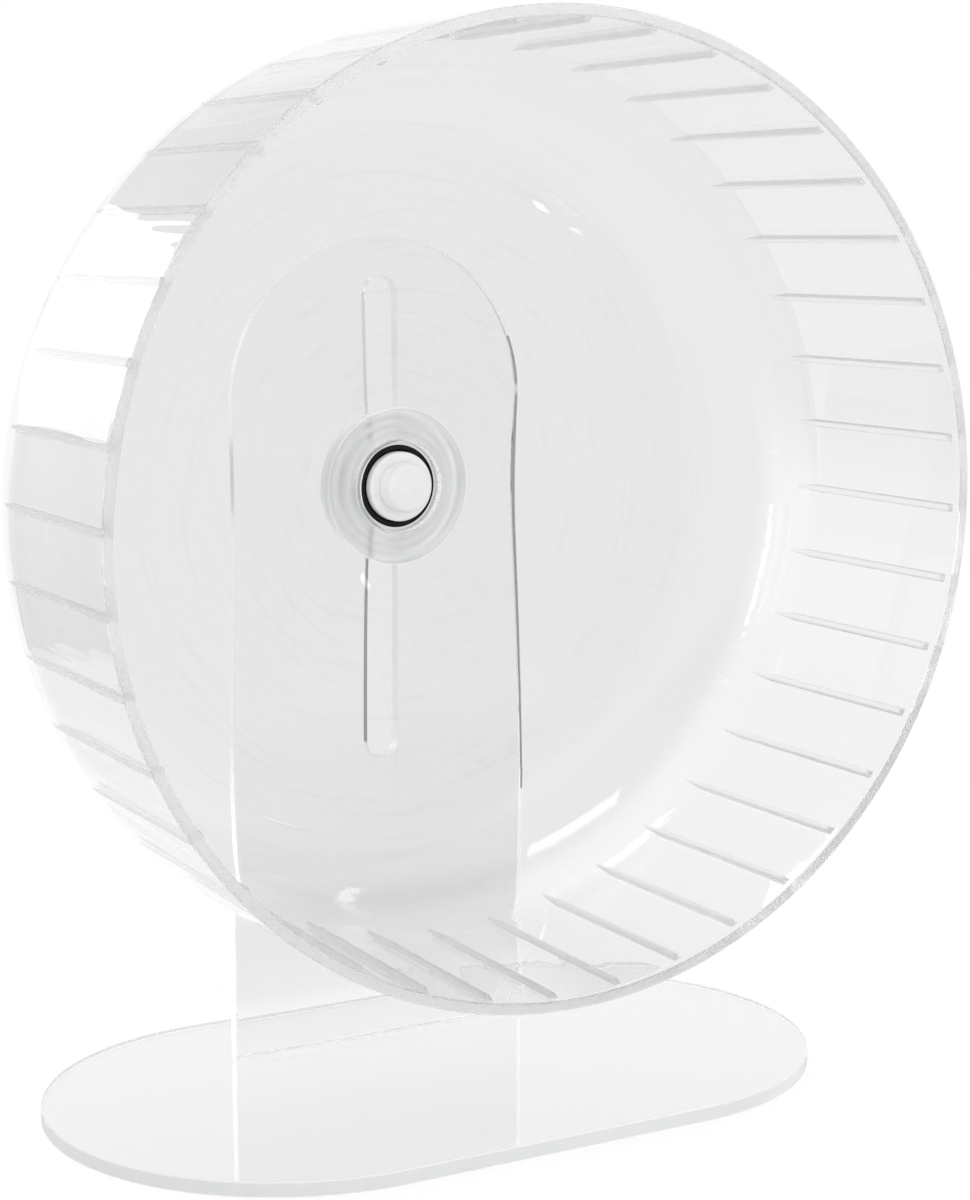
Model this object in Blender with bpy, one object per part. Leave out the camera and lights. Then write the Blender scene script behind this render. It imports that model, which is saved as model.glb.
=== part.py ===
"""Clear hamster wheel on a glued plate stand, with a ball-bearing hub.

Metres, +Z up. The origin is the middle of the base plate's underside, X runs
across the wheel, and the open side of the drum faces -Y. Nothing here is
parented: each piece sits where it is used.
"""
import math

import bmesh
import bpy

# Stand
SHEET_T = 0.0035          # base plate thickness
BASE_LENGTH = 0.188       # rounded-end base plate, along X
BASE_WIDTH = 0.1124       # base plate, along Y, also the diameter of its ends
POST_T = 0.0030           # post plate thickness
POST_WIDTH = 0.0780       # post, also the diameter of its arched top
POST_TOP = 0.0581         # top of the arch above the axle
AXLE_HEIGHT = 0.1381      # axle above the floor, as photographed
SLOT_UP = 0.0450          # travel left in the slot above the axle
SLOT_DOWN = 0.0620        # travel left in the slot below the axle

# Drum
DRUM_R = 0.105            # outside radius of the rim
DRUM_DEPTH = 0.0785       # rim to the outside of the back disc
WALL = 0.0024             # moulded wall thickness
DRAFT_DEG = 1.2           # the wall narrows towards the back
CORNER_R = 0.0260         # outside radius of the rounded back corner
RIM_EDGE = 0.0004         # softened rim edges
RIM_Y = -0.0603           # plane of the front rim
RIB_COUNT = 40
RIB_PHASE_DEG = 2.0       # the first rib, clockwise from the top
RIB_BASE_W = 0.0019
RIB_TOP_W = 0.0012
RIB_H = 0.0011
RIB_INSET = 0.0022        # rim to the front end of a rib

# Hub and bearing
HUB_R = 0.0185            # clear ring behind the back disc
BEARING_R = 0.0110        # outside radius, standard 22 mm size
BEARING_BORE_R = 0.0040
BEARING_W = 0.0070
BEARING_RECESS = 0.0021   # bearing face behind the disc's inner face
LIP_R = 0.0098            # hole in the disc, smaller than the bearing it stops
BALL_R = 0.0019845
BALL_ORBIT_R = 0.0075
BALL_COUNT = 7
SEAL_T = 0.0005
SEAL_INSET = 0.0001       # seal face behind the bearing face
RACE_LAND = 0.0016        # half height of the gap between the two rings
SEAL_LIP = 0.00075        # how far a seal reaches into the outer ring

# Axle
HEAD_R = 0.0050
HEAD_T = 0.0008
CAP_WALL = 0.0026
CAP_STEP_R = 0.0057       # smaller front step of the white cap
CAP_STEP_T = 0.0031       # how far that step stands out
CAP_FRONT_T = 0.0050      # cap in front of the axle's head
CAP_EDGE = 0.0006         # rounded shoulder of the wide step
CAP_DOME = 0.0012         # rounded shoulder of the front step
SPACER_R = 0.0060
SPACER_LEN = 0.0012
WASHER_R = 0.0090
WASHER_T = 0.0016
NUT_FLATS = 0.0130
NUT_T = 0.0065
AXLE_TAIL = 0.0020        # axle end past the nut

# Clearances
SEAT = 0.0003             # between pieces that touch
SLOT_SIDE = 0.0006        # axle to each side of the slot
POCKET = 0.0003           # cage to ball

# Where each layer of the hub sits, front to back
DISC_BACK = RIM_Y + DRUM_DEPTH
DISC_FRONT = DISC_BACK - WALL
BEARING_FRONT = DISC_FRONT + BEARING_RECESS
BEARING_BACK = BEARING_FRONT + BEARING_W
BEARING_MID = BEARING_FRONT + BEARING_W / 2
POST_FRONT = BEARING_BACK + SEAT + SPACER_LEN + SEAT
POST_BACK = POST_FRONT + POST_T
WASHER_FRONT = POST_BACK + SEAT
NUT_FRONT = WASHER_FRONT + WASHER_T + SEAT
AXLE_END = NUT_FRONT + NUT_T + AXLE_TAIL
AXLE_R = BEARING_BORE_R - SEAT
HOUSING_R = BEARING_R + SEAT


def material(name, colour, rough, metal=0.0, clear=0.0):
    mat = bpy.data.materials.new(name)
    mat.use_nodes = True
    shader = mat.node_tree.nodes["Principled BSDF"]
    shader.inputs["Base Color"].default_value = (*colour, 1.0)
    shader.inputs["Roughness"].default_value = rough
    shader.inputs["Metallic"].default_value = metal
    shader.inputs["Transmission Weight"].default_value = clear
    shader.inputs["IOR"].default_value = 1.49
    mat.diffuse_color = (*colour, 1.0 - 0.65 * clear)
    return mat


def finish(name, bm, mat, origin=(0.0, 0.0, 0.0), smooth_deg=None):
    """Turn a bmesh drawn about its own origin into a named, placed piece."""
    bmesh.ops.remove_doubles(bm, verts=bm.verts[:], dist=1e-7)
    bmesh.ops.triangulate(bm, faces=bm.faces[:])
    bmesh.ops.recalc_face_normals(bm, faces=bm.faces[:])
    mesh = bpy.data.meshes.new(name)
    bm.to_mesh(mesh)
    bm.free()
    if smooth_deg is not None:
        mesh.shade_smooth()
        mesh.set_sharp_from_angle(angle=math.radians(smooth_deg))
    mesh.materials.append(mat)
    obj = bpy.data.objects.new(name, mesh)
    obj.location = origin
    bpy.context.scene.collection.objects.link(obj)
    return obj


def skin(rows):
    """Close a grid of points, rows around the section and columns around the axis."""
    bm = bmesh.new()
    grid = [[bm.verts.new(p) for p in row] for row in rows]
    n_row, n_col = len(grid), len(grid[0])
    for i in range(n_row):
        for j in range(n_col):
            a, b = grid[i], grid[(i + 1) % n_row]
            k = (j + 1) % n_col
            bm.faces.new((a[j], a[k], b[k], b[j]))
    return bm


def lathe(section, steps):
    """Sweep a closed (radius, y) section round the axle line."""
    turn = [2 * math.pi * j / steps for j in range(steps)]
    return skin([[(r * math.sin(t), y, r * math.cos(t)) for t in turn] for r, y in section])


def plug(section, steps):
    """Sweep an open section that starts and ends on the axis into a solid."""
    bm = bmesh.new()
    turn = [2 * math.pi * j / steps for j in range(steps)]
    rings = [[bm.verts.new((r * math.sin(t), y, r * math.cos(t))) for t in turn]
             for r, y in section[1:-1]]
    for a, b in zip(rings, rings[1:]):
        for j in range(steps):
            k = (j + 1) % steps
            bm.faces.new((a[j], a[k], b[k], b[j]))
    bm.faces.new(rings[0])
    bm.faces.new(rings[-1])
    return bm


def arc(cx, cy, r, start, end, steps):
    """Points of an arc in a plane, angles in degrees."""
    turn = [math.radians(start + (end - start) * i / steps) for i in range(steps + 1)]
    return [(cx + r * math.cos(t), cy + r * math.sin(t)) for t in turn]


def plate(loops, low, high, to_world):
    """Extrude a flat outline, with any holes, between two depths."""
    bm = bmesh.new()
    edges = []
    for loop in loops:
        verts = [bm.verts.new(to_world(u, v, low)) for u, v in loop]
        edges += [bm.edges.new((a, b)) for a, b in zip(verts, verts[1:] + verts[:1])]
    flat = bmesh.ops.triangle_fill(bm, use_beauty=True, edges=edges)
    faces = [g for g in flat["geom"] if isinstance(g, bmesh.types.BMFace)]
    raised = bmesh.ops.extrude_face_region(bm, geom=faces, use_keep_orig=True)
    start, end = to_world(0, 0, low), to_world(0, 0, high)
    step = [b - a for a, b in zip(start, end)]
    moved = [g for g in raised["geom"] if isinstance(g, bmesh.types.BMVert)]
    bmesh.ops.translate(bm, verts=moved, vec=step)
    return bm


for old in list(bpy.data.objects):
    bpy.data.objects.remove(old, do_unlink=True)

CLEAR_STAND = material("clear_stand", (0.93, 0.94, 0.94), 0.06, clear=0.9)
CLEAR_DRUM = material("clear_drum", (0.90, 0.91, 0.91), 0.08, clear=0.9)
CLEAR_HUB = material("clear_hub", (0.80, 0.81, 0.81), 0.12, clear=0.8)
STEEL = material("steel", (0.62, 0.63, 0.64), 0.22, metal=1.0)
BLACK_SEAL = material("black_seal", (0.012, 0.012, 0.013), 0.45)
CAGE_PLASTIC = material("cage_plastic", (0.55, 0.50, 0.38), 0.50)
WHITE_CAP = material("white_cap", (0.86, 0.86, 0.85), 0.30)

AXLE_POINT = (0.0, 0.0, AXLE_HEIGHT)


def base_plate():
    # A sheet with fully rounded ends.
    r = BASE_WIDTH / 2
    run = BASE_LENGTH / 2 - r
    outline = arc(run, 0, r, -90, 90, 24) + arc(-run, 0, r, 90, 270, 24)
    bm = plate([outline], 0.0, SHEET_T, lambda u, v, d: (u, v, d))
    return finish("base_plate", bm, CLEAR_STAND, smooth_deg=30)


def post():
    # A sheet with an arched top and a long slot that the axle slides in.
    half = POST_WIDTH / 2
    foot = SHEET_T + SEAT
    spring = AXLE_HEIGHT + POST_TOP - half
    outline = [(-half, foot), (half, foot)] + arc(0, spring, half, 0, 180, 28)
    slot_r = AXLE_R + SLOT_SIDE
    top, low = AXLE_HEIGHT + SLOT_UP, AXLE_HEIGHT - SLOT_DOWN
    slot = arc(0, top, slot_r, 0, 180, 10) + arc(0, low, slot_r, 180, 360, 10)
    bm = plate([outline, slot], POST_FRONT, POST_BACK, lambda u, v, d: (u, d, v))
    return finish("post", bm, CLEAR_STAND, smooth_deg=30)


def drum():
    # An open dish with a rounded back corner and ribs along its track. A lip
    # round the hole in its disc stops the bearing.
    draft = math.tan(math.radians(DRAFT_DEG))
    corner_y = DRUM_DEPTH - CORNER_R
    out_wall = lambda y: DRUM_R - draft * y
    in_wall = lambda y: DRUM_R - WALL - draft * y
    corner_c = out_wall(corner_y) - CORNER_R
    in_r = CORNER_R - WALL
    run_out = math.degrees(math.acos(1 - RIB_H / in_r))

    disc_y = DRUM_DEPTH - WALL
    lip_y = disc_y + BEARING_RECESS - SEAT

    inner = [(LIP_R, disc_y, 0)]
    for deg in (90, 70, 50, run_out + 8, run_out, run_out / 2, 0):
        t = math.radians(deg)
        y = corner_y + in_r * math.sin(t)
        r = corner_c + in_r * math.cos(t)
        inner.append((r, y, max(0.0, r - (corner_c + in_r - RIB_H))))
    inner.append((in_wall(RIB_INSET + RIB_H / 2), RIB_INSET + RIB_H / 2, RIB_H))
    inner.append((in_wall(RIB_INSET), RIB_INSET, 0))
    inner.append((in_wall(RIM_EDGE), RIM_EDGE, 0))
    rim = [(in_wall(0) + RIM_EDGE, 0, 0), (DRUM_R - RIM_EDGE, 0, 0)]
    outer = [(out_wall(RIM_EDGE), RIM_EDGE, 0)]
    for deg in (0, 18, 36, 54, 72, 90):
        t = math.radians(deg)
        outer.append((corner_c + CORNER_R * math.cos(t), corner_y + CORNER_R * math.sin(t), 0))
    outer += [(HOUSING_R, DRUM_DEPTH, 0), (HOUSING_R, lip_y, 0), (LIP_R, lip_y, 0)]

    wide = RIB_BASE_W / 2 / (DRUM_R - WALL)
    top = RIB_TOP_W / 2 / (DRUM_R - WALL)
    turn = []
    for k in range(RIB_COUNT):
        mid = math.radians(RIB_PHASE_DEG + 360.0 * k / RIB_COUNT)
        turn += [(mid - wide, 0), (mid - top, 1), (mid + top, 1), (mid + wide, 0)]
    rows = [[((r - rise * up) * math.sin(t), RIM_Y + y, (r - rise * up) * math.cos(t))
             for t, up in turn] for r, y, rise in inner + rim + outer]
    return finish("drum", skin(rows), CLEAR_DRUM, AXLE_POINT, smooth_deg=38)


def hub_ring():
    # Clear ring on the back of the disc that holds the rear of the bearing.
    edge = RIM_EDGE
    front, back = DISC_BACK + SEAT, BEARING_BACK
    section = [(HOUSING_R, front), (HUB_R - edge, front), (HUB_R, front + edge),
               (HUB_R, back - edge), (HUB_R - edge, back), (HOUSING_R, back)]
    return finish("hub_ring", lathe(section, 56), CLEAR_HUB, AXLE_POINT, smooth_deg=50)


# Both bearing rings share the gap the balls roll in: a land each side of the
# orbit, a groove for the balls and a step at each face for a seal.
OUTER_LAND = BALL_ORBIT_R + RACE_LAND
INNER_LAND = BALL_ORBIT_R - RACE_LAND
SEAL_SEAT = SEAL_INSET + SEAL_T + SEAT
SEAL_OUT_R = OUTER_LAND + SEAL_LIP
SEAL_IN_R = INNER_LAND + SEAT


def groove(steps, side):
    """Race groove across the bearing: +1 in the outer ring, -1 in the inner."""
    r = BALL_R + POCKET
    open_deg = math.degrees(math.acos(RACE_LAND / r))
    turn = [math.radians(-open_deg + 2 * open_deg * i / steps) for i in range(steps + 1)]
    return [(BALL_ORBIT_R + side * r * math.cos(t), BEARING_MID + r * math.sin(t)) for t in turn]


def bearing_outer_ring():
    step_r = SEAL_OUT_R + SEAT
    section = [(BEARING_R - SEAT, BEARING_FRONT), (BEARING_R, BEARING_FRONT + SEAT),
               (BEARING_R, BEARING_BACK - SEAT), (BEARING_R - SEAT, BEARING_BACK),
               (step_r, BEARING_BACK), (step_r, BEARING_BACK - SEAL_SEAT),
               (OUTER_LAND, BEARING_BACK - SEAL_SEAT)]
    section += groove(6, 1)[::-1]
    section += [(OUTER_LAND, BEARING_FRONT + SEAL_SEAT), (step_r, BEARING_FRONT + SEAL_SEAT),
                (step_r, BEARING_FRONT)]
    return finish("bearing_outer_ring", lathe(section, 40), STEEL, AXLE_POINT, smooth_deg=35)


def bearing_inner_ring():
    section = [(BEARING_BORE_R, BEARING_FRONT), (BEARING_BORE_R, BEARING_BACK),
               (INNER_LAND, BEARING_BACK)]
    section += groove(6, -1)[::-1]
    section += [(INNER_LAND, BEARING_FRONT)]
    return finish("bearing_inner_ring", lathe(section, 32), STEEL, AXLE_POINT, smooth_deg=35)


def seal(name, front):
    section = [(SEAL_IN_R, front), (SEAL_OUT_R, front),
               (SEAL_OUT_R, front + SEAL_T), (SEAL_IN_R, front + SEAL_T)]
    return finish(name, lathe(section, 36), BLACK_SEAL, AXLE_POINT, smooth_deg=35)


def ball_cage():
    # A crown: a thin ring behind the balls with a finger between each pair.
    pocket_r = BALL_R + POCKET
    back = BEARING_MID - BEARING_W / 2 + SEAL_SEAT + SEAT
    finger = BEARING_MID + BALL_R / 2
    web = RACE_LAND / 2
    turn = []
    for k in range(BALL_COUNT):
        mid = 2 * math.pi * k / BALL_COUNT
        reach = math.asin(pocket_r / BALL_ORBIT_R)
        turn.append((mid - math.pi / BALL_COUNT, finger))
        turn.append((mid - 1.10 * reach, finger))
        for share in (-1.0, -0.8, -0.45, 0.0, 0.45, 0.8, 1.0):
            s = BALL_ORBIT_R * math.sin(share * reach)
            depth = math.sqrt(max(0.0, pocket_r ** 2 - s ** 2))
            turn.append((mid + share * reach, BEARING_MID - depth))
        turn.append((mid + 1.10 * reach, finger))
    ring = lambda r, high: [(r * math.sin(t), y if high else back, r * math.cos(t)) for t, y in turn]
    low_r, high_r = BALL_ORBIT_R - web, BALL_ORBIT_R + web
    rows = [ring(low_r, False), ring(high_r, False), ring(high_r, True), ring(low_r, True)]
    return finish("ball_cage", skin(rows), CAGE_PLASTIC, AXLE_POINT, smooth_deg=35)


def ball(k):
    mid = 2 * math.pi * k / BALL_COUNT
    bm = bmesh.new()
    bmesh.ops.create_uvsphere(bm, u_segments=10, v_segments=6, radius=BALL_R)
    bmesh.ops.translate(bm, verts=bm.verts[:], vec=(
        BALL_ORBIT_R * math.sin(mid), BEARING_MID, BALL_ORBIT_R * math.cos(mid)))
    return finish("ball_%d" % (k + 1), bm, STEEL, AXLE_POINT, smooth_deg=60)


def axle_bolt():
    # Headed axle, run through the bearing, the post's slot and the nut.
    back = BEARING_FRONT - SEAT
    front = back - HEAD_T
    edge = SEAT
    section = [(0, front), (HEAD_R - edge, front), (HEAD_R, front + edge), (HEAD_R, back),
               (AXLE_R, back), (AXLE_R, AXLE_END - 2 * edge), (AXLE_R - 2 * edge, AXLE_END),
               (0, AXLE_END)]
    return finish("axle_bolt", plug(section, 28), STEEL, AXLE_POINT, smooth_deg=40)


def axle_cap():
    # White two-step cap pushed over the axle's head, open at its back.
    back = BEARING_FRONT - SEAT
    hollow_r = HEAD_R + SEAT
    hollow_y = back - HEAD_T - SEAT
    cap_r = hollow_r + CAP_WALL
    front = hollow_y - CAP_FRONT_T
    step_y = front + CAP_STEP_T
    section = [(0, hollow_y), (hollow_r, hollow_y), (hollow_r, back), (cap_r - SEAT, back),
               (cap_r, back - SEAT)]
    section += arc(cap_r - CAP_EDGE, step_y + CAP_EDGE, CAP_EDGE, 0, -90, 3)
    section.append((CAP_STEP_R, step_y))
    section += arc(CAP_STEP_R - CAP_DOME, front + CAP_DOME, CAP_DOME, 0, -90, 4)
    section.append((0, front))
    return finish("axle_cap", plug(section, 36), WHITE_CAP, AXLE_POINT, smooth_deg=40)


def sleeve(name, radius, front, length, steps, mat):
    section = [(BEARING_BORE_R, front), (radius, front),
               (radius, front + length), (BEARING_BORE_R, front + length)]
    return finish(name, lathe(section, steps), mat, AXLE_POINT, smooth_deg=40)


def lock_nut():
    # Plain hexagon nut with softened corners.
    steps = 36
    turn = [2 * math.pi * j / steps for j in range(steps)]
    flat = NUT_FLATS / 2

    def hexagon(limit):
        return [min(limit, flat / math.cos((t % (math.pi / 3)) - math.pi / 6)) for t in turn]

    def ring(radii, y):
        return [(r * math.sin(t), y, r * math.cos(t)) for r, t in zip(radii, turn)]
    front, back = NUT_FRONT, NUT_FRONT + NUT_T
    bore = [BEARING_BORE_R] * steps
    edge = 2 * SEAT
    rows = [ring(bore, front), ring(hexagon(flat), front), ring(hexagon(2 * flat), front + edge),
            ring(hexagon(2 * flat), back - edge), ring(hexagon(flat), back), ring(bore, back)]
    return finish("lock_nut", skin(rows), STEEL, AXLE_POINT, smooth_deg=25)


base_plate()
post()
drum()
hub_ring()
bearing_outer_ring()
bearing_inner_ring()
seal("front_seal", BEARING_FRONT + SEAL_INSET)
seal("rear_seal", BEARING_BACK - SEAL_INSET - SEAL_T)
ball_cage()
for number in range(BALL_COUNT):
    ball(number)
axle_bolt()
axle_cap()
sleeve("spacer_sleeve", SPACER_R, BEARING_BACK + SEAT, SPACER_LEN, 28, STEEL)
sleeve("rear_washer", WASHER_R, WASHER_FRONT, WASHER_T, 32, STEEL)
lock_nut()
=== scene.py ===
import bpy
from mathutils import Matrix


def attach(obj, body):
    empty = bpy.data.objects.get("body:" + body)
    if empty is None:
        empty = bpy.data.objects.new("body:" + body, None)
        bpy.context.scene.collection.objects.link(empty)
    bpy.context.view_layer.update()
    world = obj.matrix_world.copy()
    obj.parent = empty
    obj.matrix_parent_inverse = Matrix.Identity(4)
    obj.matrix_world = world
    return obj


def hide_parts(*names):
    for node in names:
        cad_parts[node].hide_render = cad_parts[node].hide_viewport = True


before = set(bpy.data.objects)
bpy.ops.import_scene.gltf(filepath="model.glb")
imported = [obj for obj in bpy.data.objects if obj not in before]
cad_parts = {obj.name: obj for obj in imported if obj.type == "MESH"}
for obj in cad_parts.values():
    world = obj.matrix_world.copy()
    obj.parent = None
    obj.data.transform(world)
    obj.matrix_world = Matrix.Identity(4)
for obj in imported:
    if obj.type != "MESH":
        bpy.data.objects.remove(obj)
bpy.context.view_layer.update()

import math

import bmesh
import bpy
from mathutils import Matrix, Vector, noise

# Base plate: a flat sheet of clear cast acrylic, laser cut with full round
# ends, its cut edge left frosted. It lies on the floor and carries the post.
sheet_t = 0.0035
base_length = 0.188
base_width = 0.1124
end_steps = 160
sheet_edge = 0.0003
square_deg = 60
sheet_smooth_deg = 15
flat_on, edge_on = 0.99, 0.1
on_face, on_cut, on_arris = range(3)
base_tint = (0.925, 0.92, 0.92)
sheet_shade = (0.97, 0.975, 0.975)
base_cut_painted_shade = (0.84, 0.85, 0.85)
satin_tint = (1.0, 1.0, 1.0)
acrylic_ior = 1.49
weld_dist = 2e-6


def add_node(tree, kind, **settings):
    """A node with its plain settings, and numbers for its sockets by name."""
    node = tree.nodes.new(kind)
    for key, value in settings.items():
        if key in node.inputs:
            node.inputs[key].default_value = value
        else:
            setattr(node, key, value)
    return node


def worked(tree, operation, *values):
    """A value worked out from sockets and plain numbers."""
    node = add_node(tree, "ShaderNodeMath", operation=operation)
    for socket, value in zip(node.inputs, values):
        if isinstance(value, float):
            socket.default_value = value
        else:
            tree.links.new(value, socket)
    return node.outputs["Value"]


def ranged(tree, value, to_low=0.0, to_high=1.0, from_low=0.0, from_high=1.0):
    """A value taken from one range to another."""
    node = add_node(tree, "ShaderNodeMapRange")
    for label, number in (("From Min", from_low), ("From Max", from_high),
                          ("To Min", to_low), ("To Max", to_high)):
        node.inputs[label].default_value = number
    tree.links.new(value, node.inputs["Value"])
    return node.outputs["Result"]


def scaled(tree, colour, level):
    """A colour, or a value, times a level."""
    node = add_node(tree, "ShaderNodeVectorMath", operation="SCALE")
    tree.links.new(colour, node.inputs[0])
    tree.links.new(level, node.inputs["Scale"])
    return node.outputs["Vector"]


def surface_group(name, inputs, outputs):
    """An empty node group whose sockets carry the named values."""
    group = bpy.data.node_groups.new(name, "ShaderNodeTree")
    for label, kind, value in inputs:
        socket = group.interface.new_socket(label, in_out="INPUT", socket_type=kind)
        if value is not None:
            socket.default_value = value
    for label, kind in outputs:
        group.interface.new_socket(label, in_out="OUTPUT", socket_type=kind)
    return group, group.nodes.new("NodeGroupInput"), group.nodes.new("NodeGroupOutput")


def make_acrylic_surface():
    """Clear plastic close up: slow ripple, faint wiping marks, uneven tint."""
    group, given, result = surface_group(
        "acrylic_surface",
        [("Vector", "NodeSocketVector", None),
         ("Tint", "NodeSocketColor", (0.95, 0.95, 0.95, 1.0)),
         ("Ripple Size", "NodeSocketFloat", 30.0),
         ("Marks", "NodeSocketFloat", 0.05),
         ("Polish", "NodeSocketFloat", 0.01)],
        [("Colour", "NodeSocketColor"), ("Roughness", "NodeSocketFloat"),
         ("Height", "NodeSocketFloat")])
    link = group.links.new
    ripple = add_node(group, "ShaderNodeTexNoise", Detail=2.0, Roughness=0.45)
    link(given.outputs["Vector"], ripple.inputs["Vector"])
    link(given.outputs["Ripple Size"], ripple.inputs["Scale"])
    link(ripple.outputs["Fac"], result.inputs["Height"])

    turn = add_node(group, "ShaderNodeMapping", Rotation=(0.3, 0.5, 0.7), Scale=(900.0, 45.0, 500.0))
    link(given.outputs["Vector"], turn.inputs["Vector"])
    wipe = add_node(group, "ShaderNodeTexNoise", Scale=1.0, Detail=3.0)
    link(turn.outputs["Vector"], wipe.inputs["Vector"])
    mark = ranged(group, wipe.outputs["Fac"], from_low=0.56, from_high=0.78)
    share = worked(group, "MULTIPLY", mark, given.outputs["Marks"])
    link(worked(group, "ADD", share, given.outputs["Polish"]), result.inputs["Roughness"])

    cloud = add_node(group, "ShaderNodeTexNoise", Scale=14.0, Detail=2.0)
    link(given.outputs["Vector"], cloud.inputs["Vector"])
    dim = ranged(group, cloud.outputs["Fac"], to_low=0.985)
    link(scaled(group, given.outputs["Tint"], dim), result.inputs["Colour"])
    return group


acrylic_surface = make_acrylic_surface()


def clear_plastic(name, tint, shade, ripple_size, ripple_depth, stretch=(1.0, 1.0, 1.0),
                  marks=0.05, polish=0.01, rings=None, glow=0.0, outer_only=False,
                  fade=None, swirl=0.0):
    """See-through plastic that lets light pass to the floor behind it.

    rings, if given, are (radius about the axle, tint) pairs that the tint
    passes through from the middle outwards. glow is painted light: an emission
    that stands in for light gathered inside the plastic and leaving at this
    face. outer_only keeps the ripple to one side.
    fade is a direction and (distance along it, level) pairs that cap the tint,
    as painted shade that is darker where the levels are low.
    swirl is how far faint arcs about the axle dim the tint in the rings.
    """
    mat = bpy.data.materials.new(name)
    mat.use_nodes = True
    tree = mat.node_tree
    link = tree.links.new
    shader = tree.nodes["Principled BSDF"]
    shader.inputs["Transmission Weight"].default_value = 1.0
    shader.inputs["IOR"].default_value = acrylic_ior
    shader.inputs["Emission Color"].default_value = (1.0, 1.0, 1.0, 1.0)
    shader.inputs["Emission Strength"].default_value = glow
    place = add_node(tree, "ShaderNodeTexCoord")
    along = add_node(tree, "ShaderNodeMapping", Scale=stretch)
    link(place.outputs["Object"], along.inputs["Vector"])
    surface = add_node(tree, "ShaderNodeGroup", node_tree=acrylic_surface)
    surface.inputs["Tint"].default_value = (*tint, 1.0)
    surface.inputs["Ripple Size"].default_value = ripple_size
    surface.inputs["Marks"].default_value = marks
    surface.inputs["Polish"].default_value = polish
    link(along.outputs["Vector"], surface.inputs["Vector"])
    if rings:
        centre = add_node(tree, "ShaderNodeMapping", Location=(0.0, 0.0, -axle_z),
                          Scale=(1.0, 0.0, 1.0))
        link(place.outputs["Object"], centre.inputs["Vector"])
        radius = add_node(tree, "ShaderNodeVectorMath", operation="LENGTH")
        link(centre.outputs["Vector"], radius.inputs[0])
        share = worked(tree, "DIVIDE", radius.outputs["Value"], rim_r)
        ramp = add_node(tree, "ShaderNodeValToRGB")
        ramp.color_ramp.interpolation = "EASE"
        for k, (r, ring_tint) in enumerate(rings):
            stops = ramp.color_ramp.elements
            stop = stops[k] if k < 2 else stops.new(r / rim_r)
            stop.position, stop.color = r / rim_r, (*ring_tint, 1.0)
        link(share, ramp.inputs["Fac"])
        parts = add_node(tree, "ShaderNodeSeparateXYZ")
        link(centre.outputs["Vector"], parts.inputs["Vector"])
        angle = worked(tree, "ARCTAN2", parts.outputs["Z"], parts.outputs["X"])
        polar = add_node(tree, "ShaderNodeCombineXYZ")
        link(share, polar.inputs["X"])
        link(angle, polar.inputs["Y"])
        arc_map = add_node(tree, "ShaderNodeMapping", Scale=(70.0, 2.2, 1.0))
        link(polar.outputs["Vector"], arc_map.inputs["Vector"])
        lines = add_node(tree, "ShaderNodeTexNoise", Scale=1.0, Detail=1.0)
        link(arc_map.outputs["Vector"], lines.inputs["Vector"])
        dim = ranged(tree, lines.outputs["Fac"], to_low=1.0, to_high=1.0 - swirl,
                     from_low=0.55, from_high=0.75)
        drawn = scaled(tree, ramp.outputs["Color"], dim)
        link(drawn, surface.inputs["Tint"])
    if fade:
        direction, stops_along = fade
        first, last = stops_along[0][0], stops_along[-1][0]
        run = add_node(tree, "ShaderNodeVectorMath", operation="DOT_PRODUCT")
        run.inputs[1].default_value = direction
        link(place.outputs["Object"], run.inputs[0])
        share = ranged(tree, run.outputs["Value"], from_low=first, from_high=last)
        ramp = add_node(tree, "ShaderNodeValToRGB")
        ramp.color_ramp.interpolation = "EASE"
        stops = ramp.color_ramp.elements
        for spot, _ in stops_along[1:-1]:
            stops.new((spot - first) / (last - first))
        for stop, (_, level) in zip(stops, stops_along):
            stop.color = (level, level, level, 1.0)
        link(share, ramp.inputs["Fac"])
        # Painted shade: the tint is capped by the levels along the fade direction.
        painted_shade_cap = add_node(tree, "ShaderNodeVectorMath", operation="MINIMUM")
        painted_shade_cap.inputs[0].default_value = tint
        if rings:
            link(drawn, painted_shade_cap.inputs[0])
        link(ramp.outputs["Color"], painted_shade_cap.inputs[1])
        link(painted_shade_cap.outputs["Vector"], surface.inputs["Tint"])
    link(surface.outputs["Colour"], shader.inputs["Base Color"])
    link(surface.outputs["Roughness"], shader.inputs["Roughness"])
    bump = add_node(tree, "ShaderNodeBump", Strength=1.0, Distance=ripple_depth)
    link(surface.outputs["Height"], bump.inputs["Height"])
    if outer_only:
        side = add_node(tree, "ShaderNodeNewGeometry")
        front = worked(tree, "SUBTRACT", 1.0, side.outputs["Backfacing"])
        link(worked(tree, "MULTIPLY", surface.outputs["Height"], front), bump.inputs["Height"])
    link(bump.outputs["Normal"], shader.inputs["Normal"])
    ray = add_node(tree, "ShaderNodeLightPath")
    unseen = worked(tree, "MAXIMUM", ray.outputs["Is Shadow Ray"], ray.outputs["Is Diffuse Ray"])
    through = add_node(tree, "ShaderNodeBsdfTransparent", Color=(*shade, 1.0))
    pick = add_node(tree, "ShaderNodeMixShader")
    link(unseen, pick.inputs["Fac"])
    link(shader.outputs["BSDF"], pick.inputs[1])
    link(through.outputs["BSDF"], pick.inputs[2])
    link(pick.outputs["Shader"], tree.nodes["Material Output"].inputs["Surface"])
    return mat


def close_piece(name, bm, finishes, smooth_deg):
    """Weld a bmesh and stand it in the scene as one named object."""
    bmesh.ops.remove_doubles(bm, verts=bm.verts[:], dist=weld_dist)
    bmesh.ops.recalc_face_normals(bm, faces=bm.faces[:])
    mesh = bpy.data.meshes.new(name)
    bm.to_mesh(mesh)
    bm.free()
    mesh.shade_smooth()
    mesh.set_sharp_from_angle(angle=math.radians(smooth_deg))
    for finish in finishes:
        mesh.materials.append(finish)
    piece = bpy.data.objects.new(name, mesh)
    bpy.context.scene.collection.objects.link(piece)
    return piece


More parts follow.
